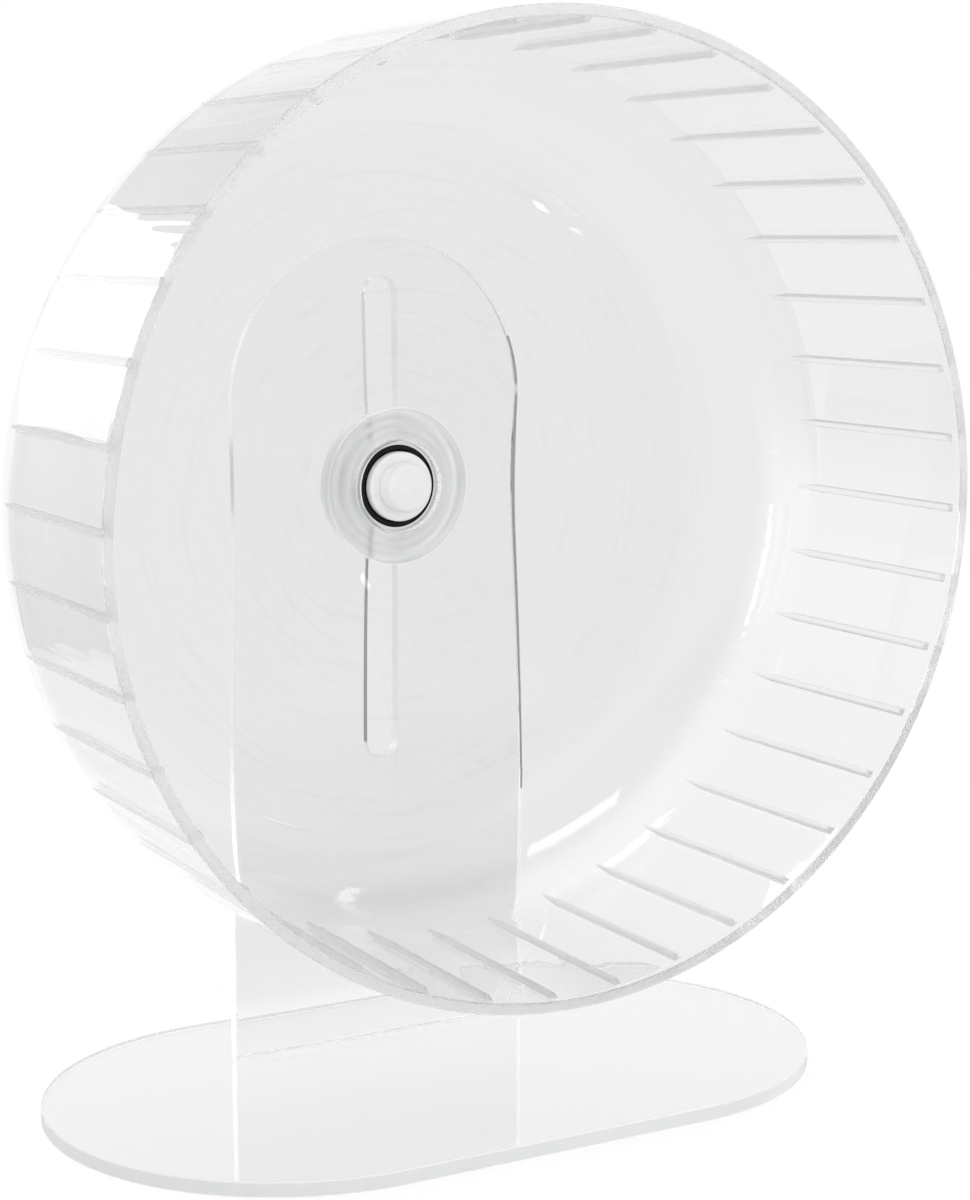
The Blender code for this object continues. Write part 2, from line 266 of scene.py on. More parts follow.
def corner_edges(bm, least_deg):
    """Edges where two faces meet at more than an angle."""
    least = math.radians(least_deg)
    return [e for e in bm.edges if len(e.link_faces) == 2 and e.calc_face_angle() > least]


def soften(bm, edges, width, segments):
    """Round edges over to a width."""
    bmesh.ops.bevel(bm, geom=edges, offset=width, offset_type="OFFSET", affect="EDGES",
                    segments=segments, profile=0.5, material=-1, clamp_overlap=True)


base_face = clear_plastic("clear_base", base_tint, sheet_shade, ripple_size=9.0, ripple_depth=0.0001)
# The cut edge is tinted darker than the face, as painted shade, and the arris glows with painted light
# from a faint emission.
base_cut = clear_plastic("clear_base_edge", base_cut_painted_shade, sheet_shade, ripple_size=260.0,
                         ripple_depth=0.00003, marks=0.10, polish=0.40)
base_arris = clear_plastic("clear_base_arris", satin_tint, sheet_shade, ripple_size=400.0,
                           ripple_depth=0.00002, marks=0.10, polish=0.50, glow=0.12)
bm = bmesh.new()
bmesh.ops.create_circle(bm, cap_ends=True, radius=base_width / 2, segments=end_steps)
bmesh.ops.rotate(bm, verts=bm.verts[:], matrix=Matrix.Rotation(math.pi / end_steps, 3, "Z"))
reach = (base_length - base_width) / 2
for side in (-1, 1):
    half = [v for v in bm.verts if v.co.x * side > 0]
    bmesh.ops.translate(bm, verts=half, vec=(side * reach, 0.0, 0.0))
raised = bmesh.ops.extrude_face_region(bm, geom=bm.faces[:], use_keep_orig=True)
bmesh.ops.translate(bm, verts=[g for g in raised["geom"] if isinstance(g, bmesh.types.BMVert)],
                    vec=(0.0, 0.0, sheet_t))
bmesh.ops.recalc_face_normals(bm, faces=bm.faces[:])
soften(bm, corner_edges(bm, square_deg), sheet_edge, 2)
for face in bm.faces:
    upright = abs(face.normal.z)
    face.material_index = on_face if upright > flat_on else on_cut if upright < edge_on else on_arris
base_sheet = close_piece("base_sheet", bm, [base_face, base_cut, base_arris], sheet_smooth_deg)
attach(base_sheet, "stand")
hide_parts("base_plate")

# Post: a thinner clear sheet, cut with an arched top and a long slot for the
# axle. It is cemented to the base by its square foot. One side of the cut is
# polished, and the rest is left satin.
post_t = 0.0030
post_width = 0.0780
post_top = 0.1962
post_y = 0.0267
slot_r = 0.0043
slot_top = 0.1831
slot_low = 0.0761
arch_steps, slot_steps = 72, 28
foot_gap = 0.00002
satin_top = 0.0600
cut_dist = 1e-7
right_on = 0.05
on_satin_foot, on_soft_cut, on_slot_cut = 2, 3, 4
post_tint = (0.998, 0.999, 0.999)
# Painted shade on the post's faces: the tint darkens in a band low on the post, darkest about 3 cm
# above the base, and clears above and below it.
foot_painted_shade = ((0.0, 0.0, 1.0),
             [(0.004, 0.97), (0.011, 0.94), (0.020, 0.85), (0.033, 0.80), (0.046, 0.91),
              (0.066, 0.955), (0.090, 1.0)])


def outline_arc(bm, start, centre, turn, steps):
    """An arc of edges spun from one point about Y."""
    first = bm.verts.new(start)
    spun = bmesh.ops.spin(bm, geom=[first], cent=centre, axis=(0.0, 1.0, 0.0),
                          angle=turn, steps=steps)
    last = [g for g in spun["geom_last"] if isinstance(g, bmesh.types.BMVert)][0]
    return first, last


bm = bmesh.new()
half_post = post_width / 2
spring = post_top - half_post
right, left = outline_arc(bm, (half_post, post_y, spring), (0.0, post_y, spring), -math.pi,
                          arch_steps)
feet = [bm.verts.new((side * half_post, post_y, sheet_t + foot_gap)) for side in (1, -1)]
bm.edges.new((right, feet[0]))
bm.edges.new((feet[0], feet[1]))
bm.edges.new((feet[1], left))
slot_a, slot_b = outline_arc(bm, (slot_r, post_y, slot_top), (0.0, post_y, slot_top), -math.pi,
                             slot_steps)
slot_c, slot_d = outline_arc(bm, (-slot_r, post_y, slot_low), (0.0, post_y, slot_low), -math.pi,
                             slot_steps)
bm.edges.new((slot_b, slot_c))
bm.edges.new((slot_d, slot_a))
bmesh.ops.triangle_fill(bm, use_beauty=True, use_dissolve=False, edges=bm.edges[:])
raised = bmesh.ops.extrude_face_region(bm, geom=bm.faces[:], use_keep_orig=True)
bmesh.ops.translate(bm, verts=[g for g in raised["geom"] if isinstance(g, bmesh.types.BMVert)],
                    vec=(0.0, post_t, 0.0))
bmesh.ops.recalc_face_normals(bm, faces=bm.faces[:])
slot_high = slot_top + slot_r + sheet_edge
outer_edges = [e for e in corner_edges(bm, square_deg) if abs(e.verts[0].co.x) > slot_r + sheet_edge
               or e.verts[0].co.z > slot_high]
soften(bm, outer_edges, sheet_edge, 2)
bmesh.ops.bisect_plane(bm, geom=bm.verts[:] + bm.edges[:] + bm.faces[:], dist=cut_dist,
                       plane_co=(0.0, 0.0, satin_top), plane_no=(0.0, 0.0, 1.0))
for face in bm.faces:
    spot, faces = face.calc_center_median(), face.normal
    in_slot = abs(spot.x) < slot_r + sheet_edge and spot.z < slot_high
    polished_side = faces.x > (flat_on if in_slot else right_on) and spot.z > satin_top
    if abs(faces.y) > flat_on:
        face.material_index = on_face
    elif abs(faces.y) > edge_on or polished_side:
        face.material_index = on_cut
    elif in_slot:
        face.material_index = on_slot_cut
    else:
        face.material_index = on_satin_foot if spot.z < satin_top else on_soft_cut
# The post's faces carry the painted shade low on the foot.
post_face = clear_plastic("clear_post", post_tint, sheet_shade, ripple_size=9.0,
                          ripple_depth=0.0001, fade=foot_painted_shade)
post_cut = clear_plastic("clear_post_edge", post_tint, sheet_shade, ripple_size=60.0,
                         ripple_depth=0.000005, marks=0.0, polish=0.005)
# Painted light: the satin foot, the soft cut and the slot glow by a faint emission.
satin_foot, soft_cut, slot_cut = [
    clear_plastic(name, satin_tint, sheet_shade, ripple_size=400.0, ripple_depth=0.00002,
                  marks=0.10, polish=polish, glow=glow)
    for name, polish, glow in (("clear_post_foot", 0.50, 0.35), ("clear_post_soft_cut", 0.35, 0.14),
                               ("clear_post_slot", 0.35, 0.04))]
post_sheet = close_piece("post_sheet", bm, [post_face, post_cut, satin_foot, soft_cut, slot_cut],
                         sheet_smooth_deg)
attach(post_sheet, "stand")
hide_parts("post")

# Cement line: solvent cement run along the foot of the post. It sets as a thin
# clear bead with a wavering edge, milky where it dried with air in it.
bead_reach, bead_rise = 0.0013, 0.0009
bead_hollow = (0.45 * bead_reach, 0.4 * bead_rise)
bead_clear = 0.00003
bead_inset = 0.0005
bead_steps = 96
bead_mean, bead_least, bead_most = 0.2, 0.12, 1.7
bead_wavers = ((2.0, 80.0, 3.7), (0.9, 300.0, 8.1))
bead_tint = (1.0, 1.0, 1.0)
bead_smooth_deg = 40
bm = bmesh.new()
foot = Vector((-half_post + bead_inset, post_y - bead_clear, sheet_t + bead_clear))
tip = bm.faces.new([bm.verts.new(foot + Vector(away)) for away in
                    ((0.0, 0.0, 0.0), (0.0, -bead_reach, 0.0), (0.0, -bead_hollow[0], bead_hollow[1]),
                     (0.0, 0.0, bead_rise))])
stride = (post_width - 2 * bead_inset) / bead_steps
for k in range(bead_steps):
    run = bmesh.ops.extrude_face_region(bm, geom=[tip], use_keep_orig=k == 0)
    if k:
        bmesh.ops.delete(bm, geom=[tip], context="FACES_ONLY")
    moved = [g for g in run["geom"] if isinstance(g, bmesh.types.BMVert)]
    tip = [g for g in run["geom"] if isinstance(g, bmesh.types.BMFace)][0]
    bmesh.ops.translate(bm, verts=moved, vec=(stride, 0.0, 0.0))
for vert in bm.verts:
    along = vert.co.x
    swell = bead_mean
    for share, fineness, start in bead_wavers:
        swell += share * noise.noise((along * fineness, start, 0.0))
    away = vert.co - Vector((along, foot.y, foot.z))
    bmesh.ops.translate(bm, verts=[vert], vec=away * (min(bead_most, max(bead_least, swell)) - 1.0))
# Painted light: a faint emission makes the bead glow.
cement = clear_plastic("set_cement", bead_tint, sheet_shade, ripple_size=900.0, ripple_depth=0.00006,
                       marks=0.2, polish=0.40, glow=0.05)
cement_bead = close_piece("cement_bead", bm, [cement], bead_smooth_deg)
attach(cement_bead, "stand")

# Drum: one clear moulding, an open dish with a round back corner and a flat
# disc. Forty thin ribs stand on the inside of the track for the feet to grip,
# and a lip round the hole in the disc keeps the bearing in.
axle_z = 0.1381
rim_r = 0.105
rim_y = -0.0603
drum_depth = 0.0785
wall = 0.0024
draft = math.tan(math.radians(1.2))
corner_r = 0.0260
rim_round = 0.0004
lip_r, lip_t = 0.0104, 0.0018
housing_r = 0.0113
lip_round, lip_back_round, housing_round = 0.0004, 0.0003, 0.0001
rib_count = 40
rib_phase = math.radians(2.0)
rib_base_w = 0.0019
rib_h = 0.0011
rib_set_back = 0.0022
rib_front = rim_y + rib_set_back
rib_nose = 0.0016
rib_point = 0.0070
rib_taper = 0.75
rib_run_out = 0.0055
hair, loose_hair, share_slack = 1e-6, 1e-5, 0.01
axle_line = (0.0, 0.0, axle_z)
along_axle = (0.0, 1.0, 0.0)
# The disc and the round corner get darker tints than the track of the same moulding: painted shade.
disc_painted_shade = (0.80, 0.805, 0.805)
corner_painted_shade = (0.82, 0.825, 0.825)
track_tint = (0.935, 0.94, 0.94)
drum_shade = (0.97, 0.972, 0.972)
rib_painted_shade = (0.86, 0.865, 0.87)
rim_tint = (0.94, 0.945, 0.945)
disc_flat_r = 0.088
# Painted shade: the drum's tint darkens towards one side, its upper right as built, along this
# direction, and it turns with the wheel.
painted_shade_way, painted_shade_from, painted_shade_to, painted_shade_level = (0.6, 0.0, 0.8), 0.042, 0.080, 0.835
moulded_smooth_deg = 40
on_corner, on_disc, on_rib, on_rim, on_outside = range(5)


def section_face(bm, corners):
    """A flat section of (radius, y) corners, upright above the axle line."""
    return bm.faces.new([bm.verts.new((0.0, y, axle_z + r)) for r, y in corners])


def round_corner(bm, near, radius, segments):
    """Round the section corner nearest a (radius, y) point."""
    spot = Vector((0.0, near[1], axle_z + near[0]))
    vert = min(bm.verts, key=lambda v: (v.co - spot).length)
    a, b = [(e.other_vert(vert).co - vert.co) for e in vert.link_edges]
    reach = radius / math.tan(a.angle(b) / 2)
    bmesh.ops.bevel(bm, geom=[vert], offset=reach, offset_type="OFFSET", affect="VERTICES",
                    segments=segments, profile=0.5, material=-1, clamp_overlap=False)


def drum_radius(y):
    """The drum's outside radius, less its draft, at a depth."""
    return rim_r - draft * (y - rim_y)


disc_back = rim_y + drum_depth
disc_front = disc_back - wall
bm = bmesh.new()
lip_back = disc_front + lip_t
corners = [(lip_r, disc_front), (drum_radius(disc_front) - wall, disc_front),
           (rim_r - wall, rim_y), (rim_r, rim_y),
           (drum_radius(disc_back), disc_back), (housing_r, disc_back),
           (housing_r, lip_back), (lip_r, lip_back)]
section_face(bm, corners)
for spot, radius, segments in ((corners[1], corner_r - wall, 20), (corners[4], corner_r, 20),
                               (corners[2], rim_round, 5), (corners[3], rim_round, 5),
                               (corners[0], lip_round, 3), (corners[5], housing_round, 2),
                               (corners[7], lip_back_round, 3)):
    round_corner(bm, spot, radius, segments)
rib_back = disc_front - (corner_r - wall) + rib_run_out
rib_rows = [rib_front + step for step in (0.0, 0.0003, 0.0008, rib_nose)]
rib_rows += [rib_back - rib_point * share for share in (1.0, 0.75, 0.5, 0.25, 0.0)]
for row in rib_rows:
    bmesh.ops.bisect_plane(bm, geom=bm.faces[:] + bm.edges[:] + bm.verts[:], dist=hair,
                           plane_co=(0.0, row, 0.0), plane_no=along_axle)
bmesh.ops.delete(bm, geom=bm.faces[:], context="FACES_ONLY")
inside = [e for e in bm.edges if abs(e.verts[0].co.y - e.verts[1].co.y) < hair
          and rim_y + rim_round < e.verts[0].co.y < rib_back + loose_hair]
bmesh.ops.delete(bm, geom=inside, context="EDGES")

# One pitch of the track, with its rib between plain strips, then forty of it.
pitch = 2 * math.pi / rib_count
rib_half = rib_base_w / 2 / (rim_r - wall)
rib_lift = ((-1.0, 0.0), (-0.86, 0.34), (-0.66, 0.84), (-0.36, 1.0),
            (0.36, 1.0), (0.66, 0.84), (0.86, 0.34), (1.0, 0.0))
plain_steps = 7
plain_step = (pitch / rib_half - 2.0) / plain_steps
at = -1.0 - plain_step
bmesh.ops.rotate(bm, verts=bm.verts[:], cent=axle_line,
                 matrix=Matrix.Rotation(rib_phase + at * rib_half, 3, "Y"))
row = bm.verts[:] + bm.edges[:]
turns = [share for share, _ in rib_lift]
turns += [1.0 + plain_step * (k + 1) for k in range(plain_steps - 1)]
for share in turns:
    spun = bmesh.ops.spin(bm, geom=row, cent=axle_line, axis=along_axle,
                          angle=(share - at) * rib_half, steps=1)
    row, at = spun["geom_last"], share
rib_faces = set()
for vert in bm.verts:
    out = Vector((vert.co.x, 0.0, vert.co.z - axle_z))
    y = vert.co.y
    share = (math.atan2(out.x, out.z) - rib_phase) / rib_half
    on_track = (rib_front - hair < y < rib_back + hair
                and out.length < drum_radius(y) - wall + loose_hair)
    if not on_track or abs(share) > 1.0 + share_slack:
        continue
    lift = max(f for s, f in rib_lift if abs(s - share) < share_slack)
    nose = min(1.0, (y - rib_front) / rib_nose)
    tail = min(1.0, max(0.0, (rib_back - y) / rib_point))
    rise = rib_h * lift * math.sqrt(max(0.0, 1.0 - (1.0 - nose) ** 2)) * math.sqrt(tail)
    narrow = share * rib_half * rib_taper * (1.0 - tail)
    bmesh.ops.translate(bm, verts=[vert], vec=out.normalized() * -rise)
    bmesh.ops.rotate(bm, verts=[vert], cent=axle_line, matrix=Matrix.Rotation(-narrow, 3, "Y"))
    if rise > 0.0:
        rib_faces.update(vert.link_faces)
for face in bm.faces:
    middle = face.calc_center_median()
    r, y = math.hypot(middle.x, middle.z - axle_z), middle.y
    if face in rib_faces:
        face.material_index = on_rib
    elif y < rim_y + loose_hair:
        face.material_index = on_rim
    elif r > drum_radius(y) - wall / 2 and y < disc_back - corner_r:
        face.material_index = on_outside
    else:
        face.material_index = on_corner if r > disc_flat_r else on_disc
bmesh.ops.spin(bm, geom=bm.verts[:] + bm.edges[:] + bm.faces[:], cent=axle_line, axis=along_axle,
               angle=pitch * (rib_count - 1), steps=rib_count - 1, use_duplicate=True)
# Painted shade on one side of the drum, faded in along the direction above.
axle_on_way = painted_shade_way[2] * axle_z
painted_shade_side = (painted_shade_way, [(axle_on_way + painted_shade_from, 1.0), (axle_on_way + painted_shade_to, painted_shade_level)])
# Painted shade by radius: the disc and the round corner are darker than the track.
drum_painted_rings = [(0.074, disc_painted_shade), (disc_flat_r, corner_painted_shade), (0.096, corner_painted_shade),
              (0.1005, track_tint)]
moulded = clear_plastic("clear_moulding", track_tint, drum_shade, ripple_size=1.0,
                        ripple_depth=0.0003, stretch=(55.0, 5.0, 55.0), marks=0.03,
                        rings=drum_painted_rings, fade=painted_shade_side)
disc_flat = clear_plastic("clear_moulding_disc", disc_painted_shade, drum_shade, ripple_size=16.0,
                          ripple_depth=0.0002, marks=0.03, rings=drum_painted_rings, swirl=0.032)
# The ribs are frosted, and they are tinted darker than the wall as painted shade.
rib_frost_and_painted_shade = clear_plastic("clear_moulding_rib", rib_painted_shade, drum_shade, ripple_size=300.0,
                          ripple_depth=0.00001, polish=0.40)
rim_frost = clear_plastic("clear_moulding_lip", rim_tint, drum_shade, ripple_size=300.0,
                          ripple_depth=0.00005, polish=0.45)
outside = clear_plastic("clear_moulding_outside", track_tint, drum_shade, ripple_size=1.0,
                        ripple_depth=0.0008, stretch=(100.0, 9.0, 100.0), marks=0.03, outer_only=True)
drum_shell = close_piece("drum_shell", bm, [moulded, disc_flat, rib_frost_and_painted_shade, rim_frost, outside],
                         moulded_smooth_deg)
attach(drum_shell, "wheel")
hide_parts("drum")

# Hub ring: a clear turned ring cemented to the back of the disc. It holds the
# rear of the bearing, and two shallow grooves run round its back face.
hub_r = 0.0185
bearing_back = 0.0249
hub_tint = (0.975, 0.977, 0.977)
hub_dim = (0.84, 0.845, 0.845)
# Painted shade and highlight: the tint runs in dim and clear rings out from the bore, for the light and
# dark arcs of the turned face.
hub_painted_rings = [(housing_r, hub_tint), (hub_r, hub_dim), (0.0126, hub_dim), (0.0134, hub_tint),
             (0.0146, hub_dim), (0.0152, hub_tint), (0.0164, hub_dim), (0.0172, hub_tint)]
hub_gap = 0.00005
hub_wall_t = 0.0007
front_round, back_round, bore_round = 0.0003, 0.0006, 0.0003
grooves = (0.0164, 0.0142)
groove_w, groove_d = 0.0005, 0.0003
on_axis = 1e-7


def turned(name, corners, rounds, steps, finishes, smooth_deg=moulded_smooth_deg):
    """A ring or plug spun full circle from a section of (radius, y) corners."""
    bm = bmesh.new()
    section_face(bm, corners)
    for spot, radius, segments in rounds:
        round_corner(bm, spot, radius, segments)
    bmesh.ops.delete(bm, geom=bm.faces[:], context="FACES_ONLY")
    axis = [e for e in bm.edges if all(abs(v.co.z - axle_z) < on_axis for v in e.verts)]
    bmesh.ops.delete(bm, geom=axis, context="EDGES")
    bmesh.ops.spin(bm, geom=bm.verts[:] + bm.edges[:], cent=axle_line, axis=along_axle,
                   angle=2 * math.pi, steps=steps, use_merge=True)
    return close_piece(name, bm, finishes, smooth_deg)


# Painted light: the ring's outer wall glows by an emission.
hub_wall = clear_plastic("clear_turned_wall", hub_tint, drum_shade, ripple_size=90.0,
                         ripple_depth=0.0001, marks=0.06, polish=0.50, glow=0.22)
hub_plastic = clear_plastic("clear_turned", hub_tint, drum_shade, ripple_size=90.0,
                            ripple_depth=0.0002, marks=0.06, polish=0.40, rings=hub_painted_rings)
hub_front = disc_back + hub_gap
hub_corners = [(housing_r, hub_front), (hub_r, hub_front), (hub_r, bearing_back)]
for r in grooves:
    hub_corners += [(r + groove_w, bearing_back), (r, bearing_back - groove_d),
                    (r - groove_w, bearing_back)]
hub_corners.append((housing_r, bearing_back))
hub_collar = turned("hub_collar", hub_corners,
                    [(hub_corners[1], front_round, 3), (hub_corners[2], back_round, 4),
                     (hub_corners[-1], bore_round, 3)], 128, [hub_plastic, hub_wall])
for face in hub_collar.data.polygons:
    if math.hypot(face.center.x, face.center.z - axle_z) > hub_r - hub_wall_t:
        face.material_index = 1
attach(hub_collar, "wheel")
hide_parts("hub_ring")

# Ball bearing: two ground steel rings with a cage of seven balls between them,
# pressed into the hub. A black moulded rubber seal closes each face, its rim
# snapped in behind a thin lip of the outer ring.
bearing_r = 0.0110
bore_r = 0.0040
bearing_front = 0.0179
outer_land = 0.0091
inner_land = 0.0059
seal_step = 0.0009
seal_step_r = 0.0100
groove_lip_r, groove_lip_t = 0.0096, 0.00035
race_half, race_depth, race_curve = 0.0016, 0.0006, 0.0020
ring_round, land_round, ring_bore_round = 0.0005, 0.0001, 0.0003
steel_colour = (0.66, 0.67, 0.68)
seal_colour = (0.012, 0.012, 0.013)
seal_gloss = 0.12
cage_colour = (0.50, 0.44, 0.31)


def make_turned_metal():
    """Fine tool rings about the axle line, as a lathe or grinder leaves."""
    group, given, result = surface_group(
        "turned_metal",
        [("Vector", "NodeSocketVector", None), ("Colour", "NodeSocketColor", (0.6, 0.6, 0.6, 1.0)),
         ("Rings", "NodeSocketFloat", 5000.0), ("Roughness", "NodeSocketFloat", 0.2)],
        [("Colour", "NodeSocketColor"), ("Roughness", "NodeSocketFloat"),
         ("Height", "NodeSocketFloat")])
    link = group.links.new
    centre = add_node(group, "ShaderNodeMapping", Location=(0.0, 0.0, -axle_z))
    link(given.outputs["Vector"], centre.inputs["Vector"])
    flat = add_node(group, "ShaderNodeVectorMath", operation="MULTIPLY")
    flat.inputs[1].default_value = (1.0, 0.0, 1.0)
    link(centre.outputs["Vector"], flat.inputs[0])
    radius = add_node(group, "ShaderNodeVectorMath", operation="LENGTH")
    link(flat.outputs["Vector"], radius.inputs[0])
    depth = add_node(group, "ShaderNodeSeparateXYZ")
    link(centre.outputs["Vector"], depth.inputs["Vector"])
    where = worked(group, "ADD", radius.outputs["Value"], depth.outputs["Y"])
    tool = add_node(group, "ShaderNodeTexNoise", noise_dimensions="1D", Detail=2.0)
    link(where, tool.inputs["W"])
    link(given.outputs["Rings"], tool.inputs["Scale"])
    link(tool.outputs["Fac"], result.inputs["Height"])
    smear = add_node(group, "ShaderNodeTexNoise", Scale=700.0, Detail=3.0)
    link(given.outputs["Vector"], smear.inputs["Vector"])
    vary = ranged(group, smear.outputs["Fac"], to_low=0.75, to_high=1.35)
    link(worked(group, "MULTIPLY", vary, given.outputs["Roughness"]), result.inputs["Roughness"])
    fade = ranged(group, tool.outputs["Fac"], to_low=0.9, to_high=1.05)
    link(scaled(group, given.outputs["Colour"], fade), result.inputs["Colour"])
    return group


turned_metal = make_turned_metal()


def opaque_finish(name, group, colour, rough, metal=0.0, depth=0.0, **values):
    """A solid finish whose colour, gloss and relief come from one group."""
    mat = bpy.data.materials.new(name)
    mat.use_nodes = True
    tree = mat.node_tree
    link = tree.links.new
    shader = tree.nodes["Principled BSDF"]
    shader.inputs["Metallic"].default_value = metal
    place = add_node(tree, "ShaderNodeTexCoord")
    surface = add_node(tree, "ShaderNodeGroup", node_tree=group)
    surface.inputs["Colour"].default_value = (*colour, 1.0)
    surface.inputs["Roughness"].default_value = rough
    for key, value in values.items():
        surface.inputs[key.title()].default_value = value
    link(place.outputs["Object"], surface.inputs["Vector"])
    link(surface.outputs["Colour"], shader.inputs["Base Color"])
    link(surface.outputs["Roughness"], shader.inputs["Roughness"])
    bump = add_node(tree, "ShaderNodeBump", Strength=0.6, Distance=depth)
    link(surface.outputs["Height"], bump.inputs["Height"])
    link(bump.outputs["Normal"], shader.inputs["Normal"])
    return mat


def make_moulded_skin():
    """Moulded rubber or plastic: a fine grain and slightly uneven gloss."""
    group, given, result = surface_group(
        "moulded_skin",
        [("Vector", "NodeSocketVector", None), ("Colour", "NodeSocketColor", (0.5, 0.5, 0.5, 1.0)),
         ("Grain", "NodeSocketFloat", 2500.0), ("Roughness", "NodeSocketFloat", 0.4)],
        [("Colour", "NodeSocketColor"), ("Roughness", "NodeSocketFloat"),
         ("Height", "NodeSocketFloat")])
    link = group.links.new
    grain = add_node(group, "ShaderNodeTexNoise", Detail=3.0)
    link(given.outputs["Vector"], grain.inputs["Vector"])
    link(given.outputs["Grain"], grain.inputs["Scale"])
    link(grain.outputs["Fac"], result.inputs["Height"])
    cloud = add_node(group, "ShaderNodeTexNoise", Scale=260.0, Detail=2.0)
    link(given.outputs["Vector"], cloud.inputs["Vector"])
    for label, low, high in (("Roughness", 0.8, 1.25), ("Colour", 0.94, 1.03)):
        vary = ranged(group, cloud.outputs["Fac"], low, high)
        link(scaled(group, given.outputs[label], vary), result.inputs[label])
    return group


moulded_skin = make_moulded_skin()
bearing_steel = opaque_finish("ground_steel", turned_metal, steel_colour, 0.16, metal=1.0,
                              depth=0.00002, rings=9000.0)
seal_rubber = opaque_finish("seal_rubber", moulded_skin, seal_colour, 0.42, depth=0.00002)
seal_rubber.node_tree.nodes["Principled BSDF"].inputs["Specular IOR Level"].default_value = seal_gloss
cage_nylon = opaque_finish("cage_nylon", moulded_skin, cage_colour, 0.5, depth=0.00002)

ring_mid = (bearing_front + bearing_back) / 2
ring_corners = [(bearing_r, bearing_front), (bearing_r, bearing_back), (groove_lip_r, bearing_back),
                (groove_lip_r, bearing_back - groove_lip_t), (seal_step_r, bearing_back - groove_lip_t),
                (seal_step_r, bearing_back - seal_step),
                (outer_land, bearing_back - seal_step), (outer_land, ring_mid + race_half),
                (outer_land + race_depth, ring_mid), (outer_land, ring_mid - race_half),
                (outer_land, bearing_front + seal_step), (seal_step_r, bearing_front + seal_step),
                (seal_step_r, bearing_front + groove_lip_t),
                (groove_lip_r, bearing_front + groove_lip_t), (groove_lip_r, bearing_front)]
outer_race = turned("outer_race", ring_corners,
                    [(ring_corners[0], ring_round, 4), (ring_corners[1], ring_round, 4),
                     (ring_corners[2], land_round, 2), (ring_corners[14], land_round, 2),
                     (ring_corners[8], race_curve, 6)], 96, [bearing_steel])
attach(outer_race, "wheel")
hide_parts("bearing_outer_ring")

ring_corners = [(bore_r, bearing_front), (inner_land, bearing_front),
                (inner_land, ring_mid - race_half), (inner_land - race_depth, ring_mid),
                (inner_land, ring_mid + race_half), (inner_land, bearing_back), (bore_r, bearing_back)]
inner_race = turned("inner_race", ring_corners,
                    [(ring_corners[1], land_round, 2), (ring_corners[5], land_round, 2),
                     (ring_corners[0], ring_bore_round, 3), (ring_corners[6], ring_bore_round, 3),
                     (ring_corners[3], race_curve, 6)], 72, [bearing_steel])
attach(inner_race, "axle")
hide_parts("bearing_inner_ring")

seal_in, seal_rim_r, seal_out = 0.0062, 0.0094, 0.00985
seal_dish_r, seal_crest_r, seal_heel_r = 0.0083, 0.0086, 0.0090
seal_inset, seal_dish, seal_t = 0.0001, 0.0005, 0.0009
seal_rim_front, seal_rim_back = 0.0004, 0.0007
for name, node, face, inward in (("front_seal_disc", "front_seal", bearing_front + seal_inset, 1),
                                 ("rear_seal_disc", "rear_seal", bearing_back - seal_inset, -1)):
    section = ((seal_in, seal_dish), (seal_dish_r, seal_dish), (seal_crest_r, 0.0), (seal_rim_r, 0.0),
               (seal_rim_r, seal_rim_front), (seal_out, seal_rim_front), (seal_out, seal_rim_back),
               (seal_heel_r, seal_t), (seal_in, seal_t))
    seal_corners = [(r, face + inward * depth) for r, depth in section]
    seal_disc = turned(name, seal_corners, [(seal_corners[3], land_round, 2)], 96, [seal_rubber])
    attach(seal_disc, "wheel")
    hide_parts(node)

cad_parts["ball_cage"].data.materials[0] = cage_nylon
for number in range(1, 8):
    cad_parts["ball_%d" % number].data.materials[0] = bearing_steel

# Axle: a turned steel pin with a flat head, pushed through the bearing from
# inside the drum and threaded at its tail for the nut behind the post.
shaft_r = 0.0037
head_r = 0.0050
head_front, head_back = 0.0168, 0.0176
axle_end = 0.0404
thread_start = 0.0305
thread_pitch, thread_depth = 0.0010, 0.0004
thread_smooth_deg = 28
tail_taper = 0.0006
head_round = 0.0003
zinc_colour = (0.60, 0.61, 0.63)
zinc_steel = opaque_finish("plated_steel", turned_metal, zinc_colour, 0.26, metal=1.0,
                           depth=0.00003, rings=4500.0)
corners = [(0.0, head_front), (head_r, head_front), (head_r, head_back), (shaft_r, head_back),
           (shaft_r, thread_start)]
for k in range(int((axle_end - tail_taper - thread_start) / thread_pitch)):
    y = thread_start + k * thread_pitch
    corners += [(shaft_r - thread_depth, y + 0.5 * thread_pitch), (shaft_r, y + thread_pitch)]
corners += [(shaft_r - tail_taper, axle_end), (0.0, axle_end)]
axle_pin = turned("axle_pin", corners, [(corners[1], head_round, 3)], 64, [zinc_steel],
                  thread_smooth_deg)
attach(axle_pin, "axle")
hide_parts("axle_bolt")

